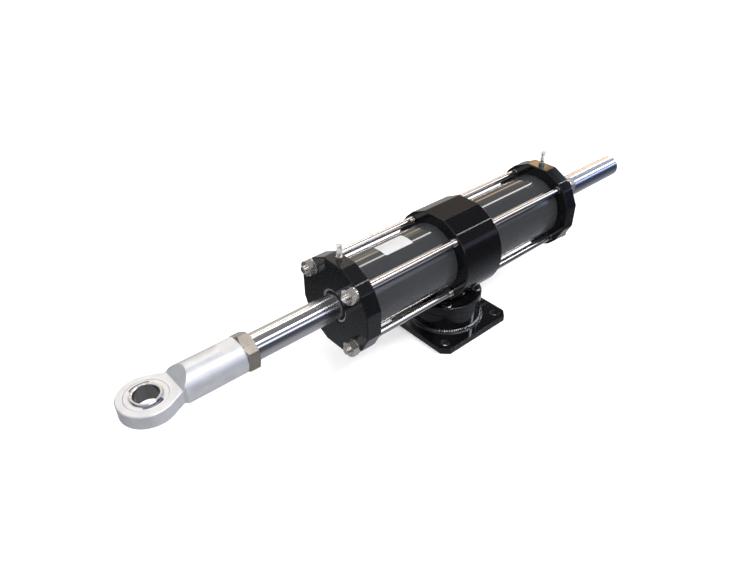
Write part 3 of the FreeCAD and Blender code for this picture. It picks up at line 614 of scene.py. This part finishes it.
@dataclass
class WeldBead:
    """The foot's weld bead, laid round the cup in overlapping ripples."""

    ripple: float = 3.4 * MM
    ripple_height: float = 0.85 * MM
    crown: float = 0.62
    sway: float = 0.35
    curl: float = 0.45
    per_ripple: int = 6
    across: int = 9

    def build(self) -> bpy.types.Object:
        """Make the rippled bead in place of the CAD's smooth one.

        Returns:
            The bead.
        """
        low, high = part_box("weld_bead")
        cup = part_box("swivel_cup")[1].x
        leg = high.z - low.z
        ripples = round(math.tau * high.x / self.ripple)
        around = ripples * self.per_ripple
        bulge = leg * (self.crown - 0.5)
        points, faces = [], []
        for step in range(around):
            angle = math.tau * step / around
            phase = (step % self.per_ripple) / self.per_ripple
            wander = 0.5 + 0.5 * math.sin(7 * angle + 1.3) * math.cos(3 * angle)
            for row in range(self.across):
                share = row / (self.across - 1)
                middle = math.sin(math.pi * share)
                lift = bulge * middle - self.ripple_height * middle * (phase ** 2 + self.sway * wander)
                radius = cup + leg * share + lift * math.sqrt(0.5)
                height = low.z + leg * (1 - share) + lift * math.sqrt(0.5)
                curled = angle + self.ripple / high.x * self.curl * middle
                points.append(Vector((radius * math.cos(curled), radius * math.sin(curled), height)))
            points.append(Vector((cup * math.cos(angle), cup * math.sin(angle), low.z)))
        ring = self.across + 1
        for step in range(around):
            here, after = step * ring, (step + 1) % around * ring
            for row in range(ring):
                nxt = (row + 1) % ring
                faces.append([here + row, here + nxt, after + nxt, after + row])
        bead = solid("weld_bead_rippled", points, faces, Finish.WELD_PAINT, sharp=50.0)
        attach(bead, Body.FOOT.value)
        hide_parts("weld_bead")
        return bead


@dataclass
class RingScrews:
    """Socket-head screws of the retaining ring, their heads knurled."""

    head_radius: float = 6.5 * MM
    head_height: float = 8.0 * MM
    shank_radius: float = 4.0 * MM
    socket_flats: float = 6.0 * MM
    socket_depth: float = 4.0 * MM
    socket_chamfer: float = 0.45 * MM
    socket_point: float = 1.2 * MM
    seat_chamfer: float = 0.3 * MM
    top_chamfer: float = 0.7 * MM
    knurl_depth: float = 0.28 * MM
    knurl_rows: tuple[int, int] = (5, 6)
    socket_rows: tuple[int, int] = (10, 11)
    groove_from: float = 0.45
    teeth: int = 30

    def head(self, x: float, y: float, foot: float, top: float, number: int) -> bpy.types.Object:
        """Make one screw.

        Args:
            x: The screw's place along the cylinder.
            y: The screw's place across.
            foot: Height of the screw's end.
            top: Height of the head's top face.
            number: Which of the four screws.

        Returns:
            The screw.
        """
        seat = top - self.head_height
        knurl = [seat + 0.4 * MM, seat + 0.9 * MM, top - self.top_chamfer - 0.5 * MM]
        corner = self.socket_flats / math.sqrt(3)
        flat = self.head_radius - self.top_chamfer
        profile = [
            (foot, 0.0), (foot, self.shank_radius), (seat, self.shank_radius),
            (seat, self.head_radius - self.seat_chamfer), (knurl[0], self.head_radius - 0.05 * MM),
            (knurl[1], self.head_radius), (knurl[2], self.head_radius),
            (top - self.top_chamfer * 0.6, self.head_radius - 0.1 * MM), (top, flat),
            (top, corner + self.socket_chamfer), (top - self.socket_chamfer, corner),
            (top - self.socket_depth, corner), (top - self.socket_depth - self.socket_point, 0.0),
        ]
        around = self.teeth * 4

        def place(height: float, radius: float, angle: float) -> Vector:
            """Put a profile point round the screw's own axis."""
            return Vector((x + radius * math.cos(angle), y + radius * math.sin(angle), height))

        def shift(row: int, angle: float) -> float:
            """Cut the knurl into the head's side and the six flats into its socket."""
            if row in self.knurl_rows:
                tooth = angle * self.teeth / math.tau % 1.0
                return -self.knurl_depth * (1.0 if tooth > self.groove_from else 0.0)
            if row in self.socket_rows:
                turn = (angle + math.pi / 6) % (math.pi / 3) - math.pi / 6
                return self.socket_flats / 2 / math.cos(turn) - corner
            return 0.0

        points, faces = lathe(profile, place, around, shift)
        return solid(f"ring_screw_{number}", points, faces, Finish.BLACK_STEEL)

    def build(self) -> bpy.types.Object:
        """Make the four screws in place of the CAD's plain ones.

        Returns:
            The four screws as one piece.
        """
        low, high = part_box("retainer_screws")
        place = high.x - self.head_radius
        quarters = ((1, 1), (-1, 1), (-1, -1), (1, -1))
        screws = join([
            self.head(across * place, along * place, low.z, high.z, number)
            for number, (across, along) in enumerate(quarters)
        ], "retainer_screws_knurled")
        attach(screws, Body.FOOT.value)
        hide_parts("retainer_screws")
        return screws


@dataclass
class BarrelSticker:
    """The blank white sticker wrapped round the top of the barrel."""

    front: float = -115.5 * MM
    rear: float = -74.0 * MM
    low_angle: float = 76.0
    high_angle: float = 104.5
    thickness: float = 0.12 * MM
    corner: float = 1.5 * MM
    rows: int = 24

    def build(self) -> bpy.types.Object:
        """Make the sticker, its corners rounded, lying on the barrel.

        Returns:
            The sticker.
        """
        low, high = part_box("barrel")
        radius, centre = (high.z - low.z) / 2, (high.z + low.z) / 2
        points, faces = [], []
        for lift in (0.0, self.thickness):
            for row in range(self.rows + 1):
                share = row / self.rows
                angle = math.radians(self.low_angle + (self.high_angle - self.low_angle) * share)
                edge = min(share, 1 - share) * math.radians(self.high_angle - self.low_angle) * radius
                inset = 0.0
                if edge < self.corner:
                    inset = self.corner - math.sqrt(self.corner ** 2 - (self.corner - edge) ** 2)
                reach = radius + lift
                for x in (self.front + inset, self.rear - inset):
                    points.append(Vector((x, -reach * math.cos(angle), centre + reach * math.sin(angle))))
        count = 2 * (self.rows + 1)
        for row in range(self.rows):
            a = 2 * row
            faces.append([a, a + 1, a + 3, a + 2])
            faces.append([count + a, count + a + 2, count + a + 3, count + a + 1])
            faces.append([a, a + 2, count + a + 2, count + a])
            faces.append([a + 1, count + a + 1, count + a + 3, a + 3])
        end = 2 * self.rows
        faces.append([0, count, count + 1, 1])
        faces.append([end, end + 1, count + end + 1, count + end])
        sticker = solid("barrel_sticker", points, faces, Finish.STICKER, sharp=40.0)
        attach(sticker, Body.CYLINDER.value)
        return sticker


@dataclass
class PackedSolids:
    """The CAD nodes that keep their shape and only get their finish."""

    def dress(self) -> int:
        """Give every node the finish of its material slot.

        Returns:
            How many nodes were dressed.
        """
        for name, node in frame["nodes"].items():
            for slot in node.material_slots:
                finish = NODE_FINISH.get(name) or SLOT_FINISH[slot.name.split(".")[0]]
                slot.material = finish.make()
                LOG.info("%s: %s", name, finish.name.lower())
        return len(frame["nodes"])


# Studio


GREY_AMBIENT = (0.50, 0.49, 0.47)
STRIP = (20.0, 20.0, 20.3)
THIN_STRIP = (9.0, 8.8, 8.6)
GOLD = (3.2, 2.1, 1.05)
BROWN = (0.1, 0.08, 0.06)

# What the cylinder mirrors, by the angle round it in degrees from the camera's side (0) over the top (90):
# one room for each length of it, from the front cap to the rear end of the rod
NEAR_ROOM = (
    (-180, GREY_AMBIENT), (-150, (0.60, 0.61, 0.63)), (-137, (0.84, 0.86, 0.88)),
    (-115, (0.46, 0.48, 0.52)), (-83, (0.36, 0.375, 0.40)), (-50, (0.34, 0.355, 0.385)),
    (-33, (0.24, 0.25, 0.28)), (-16, (0.10, 0.10, 0.115)), (5, (0.08, 0.08, 0.095)),
    (14, (0.10, 0.11, 0.15)), (20, (1.6, 1.75, 2.3)), (27, (1.6, 1.75, 2.3)), (32, (0.24, 0.25, 0.28)),
    (51, (0.22, 0.22, 0.24)), (55, STRIP), (58.5, STRIP), (63, (0.24, 0.24, 0.26)),
    (100, (0.22, 0.225, 0.24)), (113.5, (0.40, 0.39, 0.38)), (115.5, THIN_STRIP), (118.5, THIN_STRIP),
    (120.5, (0.75, 0.69, 0.62)), (142, (0.80, 0.72, 0.64)), (144, (4.5, 3.9, 3.3)),
    (147, (4.5, 3.9, 3.3)), (149, (0.70, 0.66, 0.61)), (180, GREY_AMBIENT),
)
MIDDLE_ROOM = (
    (-180, (0.36, 0.35, 0.34)), (-137, (0.62, 0.64, 0.67)), (-83, (0.34, 0.355, 0.38)),
    (-50, (0.24, 0.255, 0.28)), (-33, (0.15, 0.16, 0.18)), (-16, (0.05, 0.05, 0.06)),
    (8, (0.03, 0.03, 0.04)), (18, (0.05, 0.05, 0.07)), (24, (0.36, 0.39, 0.52)), (28, (0.36, 0.39, 0.52)),
    (32, (0.08, 0.08, 0.10)), (51, (0.09, 0.09, 0.10)), (55, STRIP), (58.5, STRIP),
    (62, (0.09, 0.09, 0.10)), (100, (0.08, 0.08, 0.09)), (113.5, (0.25, 0.24, 0.23)), (115.5, THIN_STRIP),
    (118.5, THIN_STRIP), (120.5, (0.34, 0.30, 0.26)), (150, (0.32, 0.27, 0.22)), (155, (2.6, 1.9, 1.2)),
    (158, (2.6, 1.9, 1.2)), (161, (0.34, 0.29, 0.24)), (180, (0.36, 0.35, 0.34)),
)
REAR_ROOM = (
    (-180, (0.30, 0.29, 0.28)), (-137, (0.62, 0.64, 0.67)), (-60, (0.10, 0.10, 0.11)),
    (-16, (0.03, 0.03, 0.04)), (18, (0.05, 0.05, 0.07)), (26, (0.9, 1.1, 1.7)), (36, (0.9, 1.1, 1.7)),
    (39, (0.06, 0.06, 0.08)), (51, (0.05, 0.05, 0.06)), (55, STRIP), (58.5, STRIP),
    (62, (0.05, 0.05, 0.06)), (113.5, (0.16, 0.14, 0.12)), (115.5, THIN_STRIP), (118.5, THIN_STRIP),
    (120.5, (0.30, 0.25, 0.20)), (139.2, (0.3, 0.25, 0.20)), (139.4, GOLD), (139.9, GOLD),
    (140.05, BROWN), (140.4, BROWN), (140.55, GOLD), (141.1, GOLD), (141.25, BROWN), (141.6, BROWN),
    (141.75, GOLD), (142.3, GOLD), (142.5, (0.3, 0.22, 0.15)), (155, (2.6, 1.9, 1.2)),
    (158, (2.6, 1.9, 1.2)), (161, (0.34, 0.29, 0.24)), (180, (0.30, 0.29, 0.28)),
)
FAR_ROOM = (
    (-180, (0.60, 0.60, 0.60)), (-137, (0.80, 0.85, 0.90)), (-83, (0.30, 0.33, 0.37)),
    (-50, (0.17, 0.18, 0.21)), (-20, (0.07, 0.09, 0.13)), (-10, (0.03, 0.06, 0.18)),
    (8, (0.03, 0.06, 0.18)), (18, (0.10, 0.14, 0.30)), (30, (1.5, 1.8, 2.7)), (33.5, (1.5, 1.8, 2.7)),
    (38, (0.18, 0.20, 0.28)), (51, (0.22, 0.24, 0.30)), (55, STRIP), (58.5, STRIP),
    (63, (0.62, 0.74, 1.02)), (100, (0.62, 0.74, 1.02)), (113.5, (0.5, 0.5, 0.52)), (115.5, THIN_STRIP),
    (118.5, THIN_STRIP), (120.5, (0.75, 0.68, 0.60)), (152, (0.80, 0.66, 0.52)), (155, (3.4, 2.4, 1.4)),
    (158, (3.4, 2.4, 1.4)), (160, (0.85, 0.72, 0.58)), (168, (0.80, 0.68, 0.56)), (170, (3.0, 2.1, 1.2)),
    (173, (3.0, 2.1, 1.2)), (175, (0.65, 0.62, 0.58)), (180, (0.60, 0.60, 0.60)),
)
# What the faces towards the rod end mirror, by height from straight down (-1) to straight up (1)
EYE_ROOM = (
    (-1.0, (0.35, 0.36, 0.37)), (-0.66, (0.26, 0.27, 0.28)), (-0.56, (0.07, 0.075, 0.08)),
    (-0.2, (0.05, 0.05, 0.06)), (0.1, (0.14, 0.145, 0.16)), (0.4, (0.56, 0.60, 0.66)),
    (0.6, (0.60, 0.64, 0.69)), (1.0, (0.45, 0.45, 0.46)),
)

# X of the mirrored direction between which each room fades into the next
MIDDLE_FADE = (0.50, 0.63)
REAR_FADE = (0.735, 0.745)
FAR_FADE = (0.766, 0.778)
EYE_FADE = (-0.05, -0.35)
BACKDROP = (1.0, 1.0, 1.0, 1.0)


def colour_of(node: bpy.types.Node) -> bpy.types.NodeSocket:
    """Give a node's colour output."""
    return [out for out in node.outputs if out.type == "RGBA"][0]


@dataclass
class Studio:
    """Floor, world, light and camera."""

    eye: Colour = (-0.52867, -0.46232, 0.54543)
    yaw: float = 0.8693
    pitch: float = 0.6251
    roll: float = -0.0135
    lens: float = 32.41
    sensor: float = 36.0
    floor_half: float = 60.0
    floor_colour: Colour = (0.93, 0.93, 0.93)
    floor_glow: float = 0.26
    key_strength: float = 0.95
    key_spread: float = 65.0
    key_tilt: tuple[float, float] = (8.0, -12.0)
    near_clip: float = 0.02
    far_clip: float = 200.0
    highlight_clamp: float = 4.0

    def camera(self) -> bpy.types.Object:
        """Put the camera where the photograph was taken from.

        Returns:
            The camera.
        """
        forward = Vector((math.cos(self.pitch) * math.cos(self.yaw),
                          math.cos(self.pitch) * math.sin(self.yaw), -math.sin(self.pitch)))
        right = forward.cross(Vector((0, 0, 1))).normalized()
        up = right.cross(forward)
        across = right * math.cos(self.roll) + up * math.sin(self.roll)
        above = up * math.cos(self.roll) - right * math.sin(self.roll)
        data = bpy.data.cameras.new("camera")
        data.lens, data.sensor_width = self.lens, self.sensor
        data.clip_start, data.clip_end = self.near_clip, self.far_clip
        camera = bpy.data.objects.new("camera", data)
        turn = Matrix((across, above, -forward)).transposed().to_4x4()
        camera.matrix_world = Matrix.Translation(Vector(self.eye)) @ turn
        bpy.context.collection.objects.link(camera)
        bpy.context.scene.camera = camera
        return camera

    def floor(self) -> bpy.types.Object:
        """Lay a plain pale floor that mirrors don't show, so bright metal keeps its dark bands.

        Returns:
            The floor.
        """
        half = self.floor_half
        mesh = bpy.data.meshes.new("floor")
        rim = [(-half, -half, 0), (half, -half, 0), (half, half, 0), (-half, half, 0)]
        mesh.from_pydata(rim, [], [(0, 1, 2, 3)])
        floor = bpy.data.objects.new("floor", mesh)
        bpy.context.collection.objects.link(floor)
        graph = Graph("pale_floor")
        graph.set(roughness=0.9, specular_ior_level=0.1, emission_color=self.floor_colour,
                  emission_strength=self.floor_glow)
        pale = tuple(c * 0.99 for c in self.floor_colour)
        graph.tint(graph.noise(0.4, 2.0), pale, self.floor_colour)
        mesh.materials.append(graph.material)
        floor.visible_glossy = False
        return floor

    def sky(self) -> bpy.types.World:
        """Make a dim room with long strip lights along the cylinder, plain white where the camera sees it.

        Returns:
            The world.
        """
        world = bpy.data.worlds.new("studio")
        world.use_nodes = True
        nodes, links = world.node_tree.nodes, world.node_tree.links
        source = nodes.new("ShaderNodeTexCoord")
        parts = nodes.new("ShaderNodeSeparateXYZ")
        links.new(source.outputs["Generated"], parts.inputs["Vector"])
        flipped = nodes.new("ShaderNodeMath")
        flipped.operation = "MULTIPLY"
        flipped.inputs[1].default_value = -1.0
        links.new(parts.outputs["Y"], flipped.inputs[0])
        across = nodes.new("ShaderNodeCombineXYZ")
        links.new(flipped.outputs["Value"], across.inputs["X"])
        links.new(parts.outputs["Z"], across.inputs["Y"])
        turn = nodes.new("ShaderNodeTexGradient")
        turn.gradient_type = "RADIAL"
        links.new(across.outputs["Vector"], turn.inputs["Vector"])
        rounds = []
        for stops in (NEAR_ROOM, MIDDLE_ROOM, REAR_ROOM, FAR_ROOM):
            rounds.append(self.ramp(nodes, stops, lambda angle: (angle + 180) / 360))
            links.new(turn.outputs["Fac"], rounds[-1].inputs["Fac"])
        behind = self.ramp(nodes, EYE_ROOM, lambda height: (height + 1) / 2)
        links.new(self.part_of(world, parts.outputs["Z"], -1.0, 1.0), behind.inputs["Fac"])
        room, *others = rounds
        fades = (MIDDLE_FADE, REAR_FADE, FAR_FADE, EYE_FADE)
        for other, fade in zip([*others, behind], fades):
            room = self.blend(world, self.part_of(world, parts.outputs["X"], *fade), room, other)
        plain = nodes.new("ShaderNodeRGB")
        plain.outputs["Color"].default_value = BACKDROP
        seen = self.blend(world, nodes.new("ShaderNodeLightPath").outputs["Is Camera Ray"], room, plain)
        links.new(colour_of(seen), nodes["Background"].inputs["Color"])
        bpy.context.scene.world = world
        return world

    def part_of(self, world: bpy.types.World, value: bpy.types.NodeSocket,
                start: float, end: float) -> bpy.types.NodeSocket:
        """Turn a value into its share of the way from one bound to another.

        Args:
            world: The world whose nodes are used.
            value: The value.
            start: Value that gives 0.
            end: Value that gives 1.

        Returns:
            The socket with the share.
        """
        node = world.node_tree.nodes.new("ShaderNodeMapRange")
        node.inputs["From Min"].default_value = start
        node.inputs["From Max"].default_value = end
        world.node_tree.links.new(value, node.inputs["Value"])
        return node.outputs["Result"]

    def blend(self, world: bpy.types.World, share: bpy.types.NodeSocket,
              first: bpy.types.Node, second: bpy.types.Node) -> bpy.types.Node:
        """Fade from one part of the room to the next.

        Args:
            world: The world whose nodes are used.
            share: How much of the second part shows.
            first: Node that gives the first part's colour.
            second: Node that gives the second part's colour.

        Returns:
            The node with the faded colour in its Result.
        """
        node = world.node_tree.nodes.new("ShaderNodeMix")
        node.data_type = "RGBA"
        links = world.node_tree.links
        links.new(share, node.inputs["Factor"])
        colours = [socket for socket in node.inputs if socket.type == "RGBA"]
        for socket, part in zip(colours, (first, second)):
            links.new(colour_of(part), socket)
        return node

    def ramp(self, nodes: bpy.types.Nodes, stops: Sequence[tuple[float, Colour]],
             scale: Callable[[float], float]) -> bpy.types.Node:
        """Add a colour ramp.

        Args:
            nodes: Where it is added.
            stops: Pairs of place and colour, in rising order.
            scale: Turns a place into the ramp's own 0 to 1.

        Returns:
            The ramp's node.
        """
        node = nodes.new("ShaderNodeValToRGB")
        elements = node.color_ramp.elements
        while len(elements) < len(stops):
            elements.new(0.5)
        # Blender sorts the stops as they move, so the colours come after all the places
        for element, (place, _) in zip(elements, stops):
            element.position = scale(place)
        for element, (_, colour) in zip(elements, stops):
            element.color = (*colour, 1.0)
        return node

    def lights(self) -> bpy.types.Object:
        """Hang one wide soft light overhead that mirrors don't show.

        Returns:
            The light.
        """
        data = bpy.data.lights.new("overhead", "SUN")
        data.energy = self.key_strength
        data.angle = math.radians(self.key_spread)
        light = bpy.data.objects.new("overhead", data)
        light.rotation_euler = (math.radians(self.key_tilt[0]), math.radians(self.key_tilt[1]), 0)
        light.visible_glossy = False
        bpy.context.collection.objects.link(light)
        return light

    def build(self) -> None:
        """Make the floor, the world, the light and the camera, and show colours as they are."""
        self.floor()
        self.sky()
        self.lights()
        self.camera()
        bpy.context.scene.view_settings.view_transform = "Standard"
        bpy.context.scene.cycles.sample_clamp_direct = self.highlight_clamp


def main() -> None:
    """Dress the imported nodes, build the pieces that replace some of them, and set the studio."""
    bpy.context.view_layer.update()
    LOG.info("dressed %d packed nodes", PackedSolids().dress())
    makers = [TieRods(Side.FRONT), TieRods(Side.REAR), WeldBead(), RingScrews(), BarrelSticker()]
    for maker in makers:
        piece = maker.build()
        LOG.info("%s: %d faces", piece.name, len(piece.data.polygons))
    Studio().build()


if __name__ == "__main__":
    logging.basicConfig(level=logging.INFO, format="%(message)s")
    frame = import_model()
    main()
